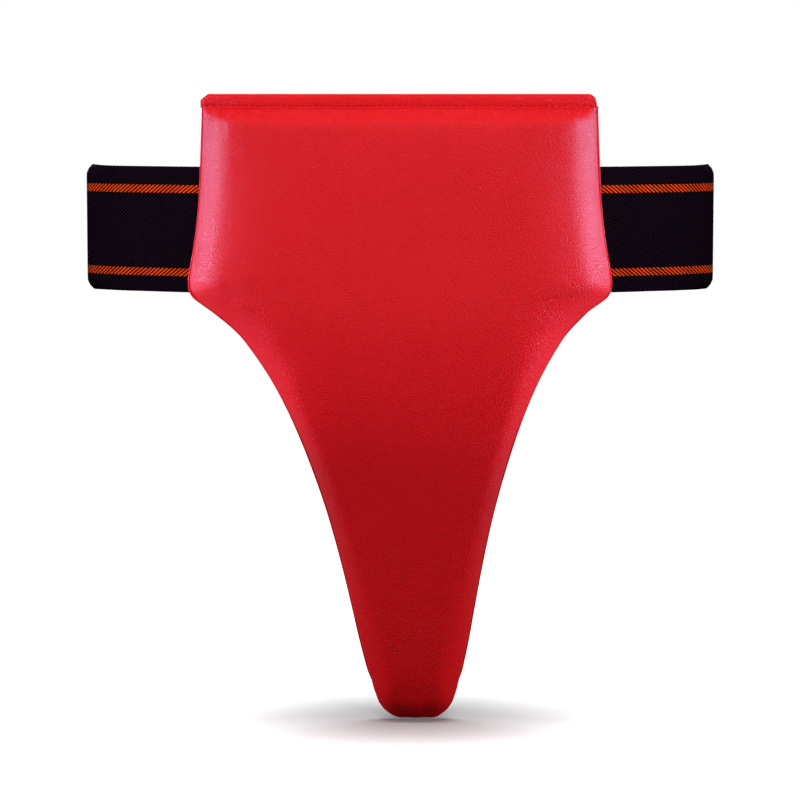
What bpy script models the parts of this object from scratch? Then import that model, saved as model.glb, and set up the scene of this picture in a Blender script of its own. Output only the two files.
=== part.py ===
"""Groin protector: a padded, leather-covered shield worn at the waist on a wide elastic band.

Metres, +Z up. The wearer is on the +Y side and the padded front faces -Y. The origin is on the
flat back of the shield, level with the middle of the waistband.
"""

import math

import bmesh
import bpy
import numpy as np
from mathutils import Matrix, Vector

MM = 0.001
GAP = 0.3 * MM
LAYER_GAP = 0.6 * MM

# Shield outline seen from the front: half-widths at heights from the hem down to the tip.
TOP_Z = 77.3 * MM
SEAM_Z = 69.8 * MM
TIP_Z = -290 * MM
TIP_CORNER = 13 * MM
SHOULDER_HALF_WIDTH = 120.5 * MM
OUTLINE = [
    (TOP_Z, 111.5 * MM),
    (40 * MM, 113 * MM),
    (15 * MM, 114.2 * MM),
    (-13 * MM, 117.6 * MM),
    (-30 * MM, SHOULDER_HALF_WIDTH),
    (-37 * MM, 119 * MM),
    (-46 * MM, 107.3 * MM),
    (-60 * MM, 92.4 * MM),
    (-80 * MM, 79.2 * MM),
    (-108 * MM, 65.9 * MM),
    (-158 * MM, 49.3 * MM),
    (-202 * MM, 39 * MM),
    (-246 * MM, 30.4 * MM),
    (TIP_Z, 20 * MM),
]
LEAN = 9.5 * MM
LEAN_START_Z = -48 * MM
LEAN_POWER = 0.6
SHOULDER_ROWS = (-22 * MM, -62 * MM)
STEEPEST_ROW = 2.5

# The back is flat over the belly, wraps round the hips and sweeps under between the legs.
FLAT_HALF_WIDTH = 70 * MM
WRAP_RADIUS = 250 * MM
MIDDLE_COLUMNS = (-0.86, -0.7, 0, 0.7, 0.86)
SWEEP_TOP_Z = -42 * MM
SWEEP_END_Z = -132 * MM
SWEEP_ANGLE = math.radians(11)

# Padding: depths are measured forward from the back face.
CROWN_BODY = 24 * MM
CROWN_TIP = 15 * MM
CROWN_FALL_Z = -45 * MM
PILLOW = 2.5 * MM
SIDE_ROLL_BODY = 18 * MM
SIDE_ROLL_TONGUE = 10 * MM
SIDE_ROLL_CHANGE = 60 * MM
SIDE_ROLL_SHARE = 0.55
TOP_ROLL = 10 * MM
TIP_ROLL = 28 * MM
LINER = 1.4 * MM
COVER = 1.2 * MM
WELT = 0.9 * MM
WELT_OUT = 0.8 * MM
WELT_IN = 2.4 * MM
WELT_BELOW_SEAM = 2 * MM
RIM = LINER + GAP + WELT + 1.6 * MM
FLANGE = LINER + LAYER_GAP + COVER
FLANGE_TOP_Z = 75.5 * MM
FLANGE_CORNER = 8 * MM
FOAM_SPLIT_BODY = 7.7 * MM
FOAM_SPLIT_TIP = 5.5 * MM
FRONT_FOAM_INSET = 6.2 * MM
FRONT_FOAM_EDGE = 1.5 * MM
FRONT_FOAM_CUT = 2.8 * MM
REAR_FOAM_INSET = 4.6 * MM
END_INSET_FACTOR = 2.2

# Hem: a strip of leather folded over the top edge.
HEM = 1.0 * MM
HEM_BOTTOM_Z = 70.4 * MM
HEM_CROWN = 0.4 * MM
HEM_CHAMFER = (4.2 * MM, 3.2 * MM)
HEM_ROUND = 5 * MM
HEM_COLUMNS = 22

# Cup: a vented pear-shaped shell between the two foams.
CUP_Z = -72 * MM
CUP_HALF_HEIGHT = 72 * MM
CUP_HALF_WIDTH = 40 * MM
CUP_PEAR = 14 * MM
CUP_DOME = 7 * MM
CUP_DOME_POWER = 2.5
CUP_WALL = 2.5 * MM
CUP_RINGS = (0.3, 0.55, 0.75, 0.9, 1.0)
CUP_SEGMENTS = 28
CUP_CLEARANCE = 0.8 * MM
VENT_RADIUS = 3.2 * MM
VENT_DRILL = 80 * MM
VENTS = [(0, 20), (0, -8), (-18, 6), (18, 6), (-14, -24), (14, -24), (0, -42)]

# Waistband: two elastics sewn behind the shield, closed by hook and loop at the right rear.
BAND = 2 * MM
BAND_HALF_HEIGHT = 36 * MM
BAND_REAR_DROP = 4 * MM
BAND_CURL = 3.5 * MM
BAND_CURL_HEIGHT = 6 * MM
BAND_CURL_REACH = 28 * MM
BAND_STEP = 6.5 * MM
BAND_SEWN_X = 84 * MM
BAND_HINGE_X = 123 * MM
BAND_FRONT = [(141 * MM, 15.5 * MM), (164.5 * MM, 27 * MM)]
LEFT_FOLD = [(181.8 * MM, 46 * MM), (172.5 * MM, 62 * MM), (149 * MM, 70.2 * MM)]
LEFT_REAR = [(100 * MM, 77 * MM), (50 * MM, 80.5 * MM), (0, 82 * MM)]
RIGHT_FOLD = [(182.3 * MM, 48 * MM), (173.5 * MM, 66 * MM), (149.5 * MM, 75.3 * MM)]
LEFT_END_X = 95 * MM

# Closure: loop patch on the left elastic, hook patch and tab on the right one.
PATCH = 1.2 * MM
LOOP_PATCH_X = (22 * MM, 92 * MM)
LOOP_PATCH_HALF_HEIGHT = 27 * MM
HOOK_PATCH_X = (32 * MM, 94 * MM)
HOOK_PATCH_HALF_HEIGHT = 23 * MM
TAB = 1.8 * MM
TAB_X = (27 * MM, 98.2 * MM)
TAB_HALF_HEIGHT = 29 * MM
TAB_CORNER = 9 * MM
RIGHT_END_X = 98.7 * MM
LOOP_OUT = BAND / 2 + GAP + PATCH / 2
HOOK_OUT = LOOP_OUT + PATCH + GAP
TAB_OUT = HOOK_OUT + PATCH / 2 + GAP + TAB / 2

# Crotch strap: one elastic from the back of the tongue up to the rear of the waistband.
STRAP = 2 * MM
STRAP_HALF_WIDTH = 15 * MM
STRAP_STEP = 7 * MM
STRAP_SEWN_Z = (-212 * MM, -250 * MM)
STRAP_BEND = [(35.5 * MM, -260 * MM), (43.5 * MM, -267.5 * MM), (51.5 * MM, -260 * MM)]
STRAP_RISE = [(55.5 * MM, -240 * MM), (66 * MM, -175 * MM), (76 * MM, -112 * MM), (82.5 * MM, -66 * MM)]
STRAP_TOP_Z = (-36 * MM, 24 * MM)

RED_LEATHER = "#D41F27"
RED_WELT = "#E0242A"
BLACK_ELASTIC = "#0F0A14"
BLACK_FABRIC = "#15141A"
FOAM_GREY = "#C9C6BE"
CUP_PLASTIC = "#E9E6DC"
LEATHER_ROUGHNESS = 0.42
ELASTIC_ROUGHNESS = 0.85
FABRIC_ROUGHNESS = 0.9
FOAM_ROUGHNESS = 0.95
PLASTIC_ROUGHNESS = 0.35


def linear(hex_colour):
    channels = [int(hex_colour[i : i + 2], 16) / 255 for i in (1, 3, 5)]
    return [c / 12.92 if c <= 0.04045 else ((c + 0.055) / 1.055) ** 2.4 for c in channels]


def material(name, hex_colour, roughness):
    made = bpy.data.materials.new(name)
    made.use_nodes = True
    shader = made.node_tree.nodes["Principled BSDF"]
    shader.inputs["Base Color"].default_value = (*linear(hex_colour), 1)
    shader.inputs["Roughness"].default_value = roughness
    shader.inputs["Metallic"].default_value = 0
    return made


def spline(points, per_span=24):
    """A smooth curve through the points, as a dense array."""
    p = np.array(points, float)
    p = np.vstack([2 * p[0] - p[1], p, 2 * p[-1] - p[-2]])
    knots = np.r_[0, np.cumsum(np.sqrt(np.linalg.norm(np.diff(p, axis=0), axis=1)))]
    curve = []
    for i in range(1, len(p) - 2):
        k0, k1, k2, k3 = knots[i - 1 : i + 3]
        t = np.linspace(k1, k2, per_span, endpoint=False)[:, None]
        a1 = ((k1 - t) * p[i - 1] + (t - k0) * p[i]) / (k1 - k0)
        a2 = ((k2 - t) * p[i] + (t - k1) * p[i + 1]) / (k2 - k1)
        a3 = ((k3 - t) * p[i + 1] + (t - k2) * p[i + 2]) / (k3 - k2)
        b1 = ((k2 - t) * a1 + (t - k0) * a2) / (k2 - k0)
        b2 = ((k3 - t) * a2 + (t - k1) * a3) / (k3 - k1)
        curve.append(((k2 - t) * b1 + (t - k1) * b2) / (k2 - k1))
    return np.vstack([*curve, p[-2:-1]])


def path_length(path):
    """Length from the start of a path to each of its points."""
    return np.r_[0, np.cumsum(np.linalg.norm(np.diff(path, axis=0), axis=1))]


def resample(curve, step):
    """Evenly spaced points along a dense curve."""
    run = path_length(curve)
    stations = np.linspace(0, run[-1], max(2, round(run[-1] / step) + 1))
    return np.c_[np.interp(stations, run, curve[:, 0]), np.interp(stations, run, curve[:, 1])]


def right_of(path):
    """Unit vectors to the right of a path's direction."""
    run = np.gradient(path, axis=0)
    run /= np.linalg.norm(run, axis=1)[:, None]
    return np.c_[run[:, 1], -run[:, 0]]


def smooth_step(t):
    t = np.clip(t, 0, 1)
    return t * t * (3 - 2 * t)


def round_over(t):
    """A quarter round: upright at 0 and level from 1 on."""
    return np.sqrt(1 - (1 - np.clip(t, 0, 1)) ** 2)


def slant_over(t):
    """Leaves 0 at a slant and is level from 1 on."""
    return 1 - (1 - np.clip(t, 0, 1)) ** 2


def quarter_steps(count):
    """Stations from 0 to 1 that lie evenly along a quarter round."""
    return 1 - np.cos(np.linspace(0, math.pi / 2, count))


OUTLINE_CURVE = spline(OUTLINE)[::-1]


def half_width(z):
    plain = np.interp(z, OUTLINE_CURVE[:, 0], OUTLINE_CURVE[:, 1])
    down = np.clip(TIP_Z + TIP_CORNER - z, 0, TIP_CORNER)
    return plain - (TIP_CORNER - np.sqrt(TIP_CORNER**2 - down**2))


def lean(z):
    """The tongue hangs a little to one side."""
    down = np.clip((LEAN_START_Z - z) / (LEAN_START_Z - TIP_Z), 0, 1)
    return LEAN * down**LEAN_POWER


def slope_factor(z):
    """How much further the edge is along a row than square to the outline."""
    step = 1 * MM
    low, high = np.maximum(z - step, TIP_Z), np.minimum(z + step, TOP_Z)
    slope = (half_width(high) - half_width(low)) / (high - low)
    return np.minimum(np.sqrt(1 + slope**2), STEEPEST_ROW)


def base_y(x, z):
    """The back face of the shield."""
    wrap = np.maximum(np.abs(x) - FLAT_HALF_WIDTH, 0) ** 2 / (2 * WRAP_RADIUS)
    radius = (SWEEP_TOP_Z - SWEEP_END_Z) / math.sin(SWEEP_ANGLE)
    turn = np.clip((SWEEP_TOP_Z - np.asarray(z, float)) / radius, 0, math.sin(SWEEP_ANGLE))
    straight = np.maximum(SWEEP_END_Z - z, 0) * math.tan(SWEEP_ANGLE)
    return wrap + radius * (1 - np.sqrt(1 - turn**2)) + straight


def side_distance(x, z):
    """Distance from points of the shield to the nearer side edge."""
    corner_z = TIP_Z + TIP_CORNER
    heights = np.r_[np.linspace(TOP_Z, corner_z, 220), TIP_Z + TIP_CORNER * quarter_steps(24)[::-1]]
    nearest = np.full(np.shape(x), np.inf)
    for side in (-1, 1):
        edge = np.c_[lean(heights) + side * half_width(heights), heights]
        start, along = edge[:-1], np.diff(edge, axis=0)
        to_x, to_z = x[..., None] - start[:, 0], z[..., None] - start[:, 1]
        length = np.maximum((along**2).sum(axis=1), 1e-12)
        share = np.clip((to_x * along[:, 0] + to_z * along[:, 1]) / length, 0, 1)
        gap = np.hypot(to_x - share * along[:, 0], to_z - share * along[:, 1])
        nearest = np.minimum(nearest, gap.min(axis=-1))
    return nearest


def fall(z, body, tip):
    """A size that runs from its value on the body to its value at the tip."""
    return body + (tip - body) * smooth_step((CROWN_FALL_Z - z) / (CROWN_FALL_Z - TIP_Z - TIP_ROLL))


def side_roll(z):
    change = smooth_step((CROWN_FALL_Z - z) / SIDE_ROLL_CHANGE)
    return SIDE_ROLL_BODY + (SIDE_ROLL_TONGUE - SIDE_ROLL_BODY) * change


def pad_depth(x, z, inset, rim, cut):
    """Depth of a padding surface that slants up from its sides and rolls over at top and tip."""
    side = slant_over((side_distance(x, z) - inset) / side_roll(z))
    top = round_over((SEAM_Z - END_INSET_FACTOR * inset - z) / TOP_ROLL)
    tip = round_over((z - TIP_Z - END_INSET_FACTOR * inset) / TIP_ROLL)
    across = np.clip((x - lean(z)) / half_width(z), -1, 1)
    crown = fall(z, CROWN_BODY, CROWN_TIP) + PILLOW * (1 - across**2) - cut
    return rim + (crown - rim) * side * top * tip


def pad_rows(inset, upper, shoulder, tongue, rolled):
    """Heights from the seam to the tip, closer together at the rolls and the shoulders."""
    top, tip = SEAM_Z - END_INSET_FACTOR * inset, TIP_Z + END_INSET_FACTOR * inset
    top_roll = top - TOP_ROLL * quarter_steps(rolled)
    tip_roll = tip + TIP_ROLL * quarter_steps(rolled + 2)[::-1]
    shoulder_z, flank_z = SHOULDER_ROWS
    return np.concatenate([
        top_roll,
        np.linspace(top_roll[-1], shoulder_z, upper + 1)[1:],
        np.linspace(shoulder_z, flank_z, shoulder + 1)[1:],
        np.linspace(flank_z, tip_roll[0], tongue + 1)[1:],
        tip_roll[1:],
    ])


def pad_grid(rows, inset, edge_columns):
    """Points (x, z) of a grid that fills the outline, with columns that follow the side rolls."""
    half = half_width(rows) - inset * slope_factor(rows)
    reach = np.minimum(side_roll(rows) * slope_factor(rows), SIDE_ROLL_SHARE * half)
    from_edge = reach[:, None] * quarter_steps(edge_columns)
    inner = half - reach
    middle = inner[:, None] * np.array(MIDDLE_COLUMNS)
    across = np.hstack([from_edge - half[:, None], middle, (half[:, None] - from_edge)[:, ::-1]])
    z = np.repeat(rows[:, None], across.shape[1], axis=1)
    return across + lean(z), z


def at_depth(x, z, depth):
    return np.stack([x, base_y(x, z) - depth, z], axis=-1)


def new_object(name, mesh_builder, finish, smooth_angle=40):
    mesh = bpy.data.meshes.new(name)
    bmesh.ops.recalc_face_normals(mesh_builder, faces=mesh_builder.faces)
    mesh_builder.to_mesh(mesh)
    mesh_builder.free()
    mesh.shade_smooth()
    mesh.set_sharp_from_angle(angle=math.radians(smooth_angle))
    mesh.materials.append(finish)
    made = bpy.data.objects.new(name, mesh)
    bpy.context.scene.collection.objects.link(made)
    return made


def grid_faces(builder, points, flip):
    verts = [[builder.verts.new(p) for p in row] for row in points]
    for upper, lower in zip(verts, verts[1:]):
        for j in range(len(upper) - 1):
            corners = [upper[j], upper[j + 1], lower[j + 1], lower[j]]
            builder.faces.new(corners[::-1] if flip else corners)
    return verts


def border(verts):
    return [*verts[0], *[r[-1] for r in verts[1:]], *verts[-1][-2::-1], *[r[0] for r in verts[-2:0:-1]]]


def slab(name, front, back, finish):
    """A closed body between two grids of points that share their rows and columns."""
    builder = bmesh.new()
    front_edge = border(grid_faces(builder, front, True))
    back_edge = border(grid_faces(builder, back, False))
    for i, corner in enumerate(front_edge):
        builder.faces.new([front_edge[i - 1], corner, back_edge[i], back_edge[i - 1]])
    return new_object(name, builder, finish)


def loft(name, sections, finish):
    """A closed body through sections of equal point count, capped at both ends."""
    builder = bmesh.new()
    rings = [[builder.verts.new(p) for p in section] for section in sections]
    for ring, following in zip(rings, rings[1:]):
        for i in range(len(ring)):
            builder.faces.new([ring[i - 1], ring[i], following[i], following[i - 1]])
    builder.faces.new(rings[0][::-1])
    builder.faces.new(rings[-1])
    return new_object(name, builder, finish)


def make_front_cover(finish):
    rows = pad_rows(0, upper=4, shoulder=9, tongue=10, rolled=6)
    x, z = pad_grid(rows, 0, edge_columns=5)
    depth = pad_depth(x, z, 0, RIM, 0)
    share = x[0] / x[0, -1]
    flange_x = np.outer([half_width(TOP_Z) - FLANGE_CORNER, half_width(SEAM_Z) - GAP], share)
    flange_z = np.outer([FLANGE_TOP_Z, SEAM_Z + GAP], np.ones_like(share))
    outside = np.concatenate([at_depth(flange_x, flange_z, FLANGE), at_depth(x, z, depth)])
    builder = bmesh.new()
    grid_faces(builder, outside, True)
    cover = new_object("front_cover", builder, finish)
    wall = cover.modifiers.new("leather", "SOLIDIFY")
    wall.thickness = COVER
    wall.offset = -1
    return cover


def make_back_liner(finish):
    rows = np.concatenate([[SEAM_Z], pad_rows(GAP, upper=3, shoulder=8, tongue=8, rolled=4)[3:]])
    x, z = pad_grid(rows, GAP, edge_columns=3)
    share = x[0] / x[0, -1]
    x = np.vstack([(half_width(TOP_Z) - FLANGE_CORNER) * share, x])
    z = np.vstack([FLANGE_TOP_Z * np.ones_like(share), z])
    return slab("back_liner", at_depth(x, z, LINER), at_depth(x, z, 0), finish)


def make_edge_welt(finish):
    """A folded strip sewn between cover and liner, all round below the hem."""
    rows = pad_rows(GAP, upper=4, shoulder=10, tongue=10, rolled=5)
    start_z = SEAM_Z - WELT_BELOW_SEAM
    rows = np.r_[start_z, rows[rows < start_z]]
    left = np.c_[lean(rows) - half_width(rows), rows]
    right = np.c_[lean(rows) + half_width(rows), rows][::-1]
    edge = np.vstack([left, right])
    low = LINER + GAP
    sections = []
    for point, normal in zip(edge, right_of(edge)):
        inside, outside = point - WELT_IN * normal, point + WELT_OUT * normal
        back = [at_depth(*place, low) for place in (inside, outside)]
        front = [at_depth(*place, low + WELT) for place in (outside, inside)]
        sections.append(back + front)
    return loft("edge_welt", sections, finish)


def make_top_hem(finish):
    """A U-shaped strip over the top edge, chamfered at the left corner and round at the right."""
    half = half_width(TOP_Z) + GAP
    ends = quarter_steps(5) * 2 * HEM_ROUND
    middle = np.linspace(-half, half, HEM_COLUMNS)[2:-2]
    columns = np.concatenate([ends - half, middle, (half - ends)[::-1]])
    inner, outer = FLANGE + GAP, FLANGE + GAP + HEM
    sections = []
    for x in columns:
        left_drop = HEM_CHAMFER[1] * max(0, 1 - (x + half) / HEM_CHAMFER[0])
        right_in = min(half - x, HEM_ROUND)
        right_drop = HEM_ROUND - math.sqrt(HEM_ROUND**2 - (HEM_ROUND - right_in) ** 2)
        top = TOP_Z - left_drop - right_drop
        under = top - HEM - HEM_CROWN
        profile = [
            (outer, HEM_BOTTOM_Z), (outer, top - HEM), (inner, top - HEM_CROWN / 2), (FLANGE / 2, top),
            (-GAP, top - HEM_CROWN / 2), (-GAP - HEM, top - HEM), (-GAP - HEM, HEM_BOTTOM_Z),
            (-GAP, HEM_BOTTOM_Z), (-GAP, under), (inner, under), (inner, HEM_BOTTOM_Z),
        ]
        sections.append([at_depth(x, z, depth) for depth, z in profile])
    return loft("top_hem", sections, finish)


def foam_split(z):
    return fall(z, FOAM_SPLIT_BODY, FOAM_SPLIT_TIP)


def make_front_foam(finish):
    rows = pad_rows(FRONT_FOAM_INSET, upper=4, shoulder=8, tongue=9, rolled=4)
    x, z = pad_grid(rows, FRONT_FOAM_INSET, edge_columns=4)
    back = foam_split(z) + LAYER_GAP
    front = pad_depth(x, z, FRONT_FOAM_INSET, back + FRONT_FOAM_EDGE, FRONT_FOAM_CUT)
    foam = slab("front_foam", at_depth(x, z, front), at_depth(x, z, back), finish)
    cutter = cup_body("cup_recess", CUP_CLEARANCE, CUP_CLEARANCE, -2 * GAP, finish)
    cutter.hide_render = True
    cutter.display_type = "WIRE"
    recess = foam.modifiers.new("cup recess", "BOOLEAN")
    recess.operation = "DIFFERENCE"
    recess.object = cutter
    return foam


def make_rear_foam(finish):
    rows = pad_rows(REAR_FOAM_INSET, upper=3, shoulder=8, tongue=7, rolled=3)
    x, z = pad_grid(rows, REAR_FOAM_INSET, edge_columns=3)
    return slab("rear_foam", at_depth(x, z, foam_split(z)), at_depth(x, z, LINER + LAYER_GAP), finish)


def cup_point(ring, angle, outset):
    """A point (x, z) of the cup: the centre at ring 0 and the pear outline at ring 1."""
    width = CUP_HALF_WIDTH + outset + CUP_PEAR * math.cos(angle)
    z = CUP_Z + ring * (CUP_HALF_HEIGHT + outset) * math.cos(angle)
    return lean(CUP_Z) + ring * width * math.sin(angle), z


def cup_body(name, outset, raise_front, back_shift, finish):
    """The cup as a closed body; the recess for it is the same body, larger and flat behind."""
    angles = np.linspace(0, 2 * math.pi, CUP_SEGMENTS, endpoint=False)
    seat = FOAM_SPLIT_BODY + LAYER_GAP
    hollow = 0 if raise_front else CUP_DOME
    builder = bmesh.new()
    front, back = [], []
    for ring in CUP_RINGS:
        rise = 1 - ring**CUP_DOME_POWER
        places = [cup_point(ring, a, outset) for a in angles]
        deep = seat + CUP_WALL + CUP_DOME * rise + raise_front
        shallow = seat + hollow * rise + (back_shift if raise_front else 0)
        front.append([builder.verts.new(at_depth(x, z, deep)) for x, z in places])
        back.append([builder.verts.new(at_depth(x, z, shallow)) for x, z in places])
    for rings in (front, back):
        builder.faces.new(rings[0])
        for inner, outer in zip(rings, rings[1:]):
            for i in range(CUP_SEGMENTS):
                builder.faces.new([inner[i - 1], inner[i], outer[i], outer[i - 1]])
    for i in range(CUP_SEGMENTS):
        builder.faces.new([front[-1][i - 1], front[-1][i], back[-1][i], back[-1][i - 1]])
    return new_object(name, builder, finish)


def make_cup_shell(finish):
    cup = cup_body("cup_shell", 0, 0, 0, finish)
    builder = bmesh.new()
    for x, z in VENTS:
        centre = Vector((lean(CUP_Z) + x * MM, 0, CUP_Z + z * MM))
        place = Matrix.Translation(centre) @ Matrix.Rotation(math.pi / 2, 4, "X")
        size = {"radius1": VENT_RADIUS, "radius2": VENT_RADIUS, "depth": VENT_DRILL}
        bmesh.ops.create_cone(builder, cap_ends=True, segments=12, matrix=place, **size)
    drill = new_object("cup_vent_drill", builder, finish)
    drill.hide_render = True
    drill.display_type = "WIRE"
    vents = cup.modifiers.new("vents", "BOOLEAN")
    vents.operation = "DIFFERENCE"
    vents.object = drill
    return cup


def rear_drop(y):
    """The rear of the loop hangs slightly lower than the front."""
    fold_y, rear_y = LEFT_FOLD[0][1], LEFT_REAR[-1][1]
    return -BAND_REAR_DROP * smooth_step((y - fold_y) / (rear_y - fold_y))


def ribbon(name, path, thickness, half_height, finish, curl=0):
    """An upright strip along a plan path.

    Its half height, and how far its two edges curl to the right, are one value or one a point.
    """
    heights = np.broadcast_to(half_height, len(path))
    curls = np.broadcast_to(curl, len(path))
    levels = (0, 0.5, 1) if np.any(curl) else (1,)
    sections = []
    for centre, right, height, bend in zip(path, right_of(path), heights, curls):
        upper = [(height - (1 - t) * BAND_CURL_HEIGHT, bend * t * t) for t in levels]
        profile = [(-z, shift) for z, shift in upper[::-1]] + upper
        middle = rear_drop(centre[1])
        near = [(*(centre + (shift + thickness / 2) * right), middle + z) for z, shift in profile]
        far = [(*(centre + (shift - thickness / 2) * right), middle + z) for z, shift in profile]
        sections.append(near + far[::-1])
    return loft(name, sections, finish)


def fold_curl(path):
    """How far the edges of an elastic curl in where it folds round the side of the loop."""
    run = path_length(path)
    fold = run[np.argmax(np.abs(path[:, 0]))]
    return BAND_CURL * (1 - smooth_step(np.abs(run - fold) / BAND_CURL_REACH))


def sewn_start():
    """Plan points where an elastic lies on the back of the shield, out to its edge."""
    stations = np.linspace(BAND_SEWN_X, SHOULDER_HALF_WIDTH, 4)
    return [(x, base_y(x, 0) + LAYER_GAP + BAND / 2) for x in stations]


def left_path():
    """From the left sewn end round the rear to past the closure, with the loop on its right."""
    left_half = [(-x, y) for x, y in [*sewn_start(), *BAND_FRONT, *LEFT_FOLD, *LEFT_REAR]]
    return spline([*left_half, *LEFT_REAR[-2::-1]])


def rear_layer(out, low_x, high_x):
    """The left elastic's run behind the closure, moved outwards and cut at two x values."""
    path = left_path()
    rear = path[(path[:, 1] > LEFT_FOLD[-1][1]) & (path[:, 0] > -LEFT_REAR[0][0])]
    moved = resample(rear, BAND_STEP)
    moved = moved - out * right_of(moved)
    inside = moved[(moved[:, 0] > low_x) & (moved[:, 0] < high_x), 0]
    stations = np.r_[low_x, inside, high_x]
    return np.c_[stations, np.interp(stations, moved[:, 0], moved[:, 1])]


def make_left_band(finish):
    path = left_path()
    before_end = (path[:, 0] < LEFT_END_X) | (path[:, 1] < LEFT_FOLD[-1][1])
    path = resample(path[before_end], BAND_STEP)
    return ribbon("left_band", path, BAND, BAND_HALF_HEIGHT, finish, fold_curl(path))


def make_loop_patch(finish):
    path = rear_layer(LOOP_OUT, *LOOP_PATCH_X)
    return ribbon("loop_patch", path, PATCH, LOOP_PATCH_HALF_HEIGHT, finish)


def make_hook_patch(finish):
    path = rear_layer(HOOK_OUT, *HOOK_PATCH_X)
    return ribbon("hook_patch", path, PATCH, HOOK_PATCH_HALF_HEIGHT, finish)


def make_closure_tab(finish):
    """The tab has two round corners at its free end."""
    free_x, hinge_x = TAB_X
    corner_x = free_x + TAB_CORNER * quarter_steps(6)
    corner = np.array([rear_layer(TAB_OUT, x, hinge_x)[0] for x in corner_x])
    path = np.vstack([corner, rear_layer(TAB_OUT, free_x + TAB_CORNER, hinge_x)[1:]])
    taper = TAB_CORNER * (1 - round_over((path[:, 0] - free_x) / TAB_CORNER))
    return ribbon("closure_tab", path, TAB, TAB_HALF_HEIGHT - taper, finish)


def make_right_band(finish):
    """The right elastic in two pieces: the end sewn to the shield, and the wing that swings on it."""
    end, lead_in = rear_layer(TAB_OUT, RIGHT_END_X, RIGHT_END_X + 2 * BAND)[[0, -1]]
    path = spline([*sewn_start(), *BAND_FRONT, *RIGHT_FOLD, lead_in, end])
    split = np.argmax(path[:, 0] > BAND_HINGE_X)
    share = (BAND_HINGE_X - path[split - 1, 0]) / (path[split, 0] - path[split - 1, 0])
    hinge = path[split - 1] + share * (path[split] - path[split - 1])
    ahead = (path[split] - hinge) / np.linalg.norm(path[split] - hinge)
    sewn = resample(np.vstack([path[:split], hinge - GAP * ahead]), BAND_STEP)
    wing = resample(np.vstack([hinge, path[split:]]), BAND_STEP)
    sewn_end = ribbon("right_band_end", sewn, BAND, BAND_HALF_HEIGHT, finish)
    wing_band = ribbon("right_band", wing, BAND, BAND_HALF_HEIGHT, finish, -fold_curl(wing))
    crease = hinge + BAND / 2 * np.array([ahead[1], -ahead[0]])
    return sewn_end, wing_band, Vector((*crease, 0))


def make_crotch_strap(finish):
    sewn = [(base_y(0, z) + GAP + STRAP / 2, z) for z in np.linspace(*STRAP_SEWN_Z, 3)]
    band_back = LEFT_REAR[-1][1] + BAND / 2 + GAP + STRAP / 2
    top = [(band_back, z) for z in STRAP_TOP_Z]
    path = resample(spline([*sewn, *STRAP_BEND, *STRAP_RISE, *top]), STRAP_STEP)
    half_wall = STRAP / 2 * right_of(path)
    sections = []
    for (_, z), (y0, z0), (y1, z1) in zip(path, path + half_wall, path - half_wall):
        low, high = lean(z) - STRAP_HALF_WIDTH, lean(z) + STRAP_HALF_WIDTH
        sections.append([(low, y0, z0), (high, y0, z0), (high, y1, z1), (low, y1, z1)])
    return loft("crotch_strap", sections, finish)


def pivot(name, place, parent):
    empty = bpy.data.objects.new(name, None)
    bpy.context.scene.collection.objects.link(empty)
    empty.parent = parent
    empty.location = place
    return empty


def hang(piece, empty, place):
    """Puts a piece's origin at its pivot without moving the piece."""
    piece.data.transform(Matrix.Translation(-place))
    piece.parent = empty


def main():
    for old in list(bpy.data.objects):
        bpy.data.objects.remove(old)
    shield = [
        make_front_cover(material("cover_leather", RED_LEATHER, LEATHER_ROUGHNESS)),
        make_top_hem(material("hem_leather", RED_LEATHER, LEATHER_ROUGHNESS)),
        make_edge_welt(material("welt_leather", RED_WELT, LEATHER_ROUGHNESS)),
        make_back_liner(material("liner_fabric", BLACK_FABRIC, FABRIC_ROUGHNESS)),
        make_front_foam(material("front_foam", FOAM_GREY, FOAM_ROUGHNESS)),
        make_cup_shell(material("cup_plastic", CUP_PLASTIC, PLASTIC_ROUGHNESS)),
        make_rear_foam(material("rear_foam", FOAM_GREY, FOAM_ROUGHNESS)),
        make_crotch_strap(material("strap_elastic", BLACK_ELASTIC, ELASTIC_ROUGHNESS)),
        make_left_band(material("left_elastic", BLACK_ELASTIC, ELASTIC_ROUGHNESS)),
        make_loop_patch(material("loop_pile", BLACK_FABRIC, FABRIC_ROUGHNESS)),
    ]
    right_elastic = material("right_elastic", BLACK_ELASTIC, ELASTIC_ROUGHNESS)
    sewn_end, wing_band, wing_place = make_right_band(right_elastic)
    tab_place = Vector((*rear_layer(TAB_OUT + TAB / 2, *TAB_X)[-1], 0))

    origin = pivot("shield_origin", Vector(), None)
    for piece in [*shield, sewn_end]:
        hang(piece, origin, Vector())
    wing = pivot("right_wing_pivot", wing_place, origin)
    hang(wing_band, wing, wing_place)
    tab = pivot("closure_tab_pivot", tab_place - wing_place, wing)
    hang(make_closure_tab(material("tab_fabric", BLACK_FABRIC, FABRIC_ROUGHNESS)), tab, tab_place)
    hang(make_hook_patch(material("hook_tape", BLACK_FABRIC, FABRIC_ROUGHNESS)), tab, tab_place)
    for name, place in (("right wing", wing_place), ("closure tab", tab_place)):
        print(name, "pivot", [round(v, 5) for v in place])


main()
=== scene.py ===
import math

import bpy
import numpy as np
from mathutils import Matrix, Vector


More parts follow.
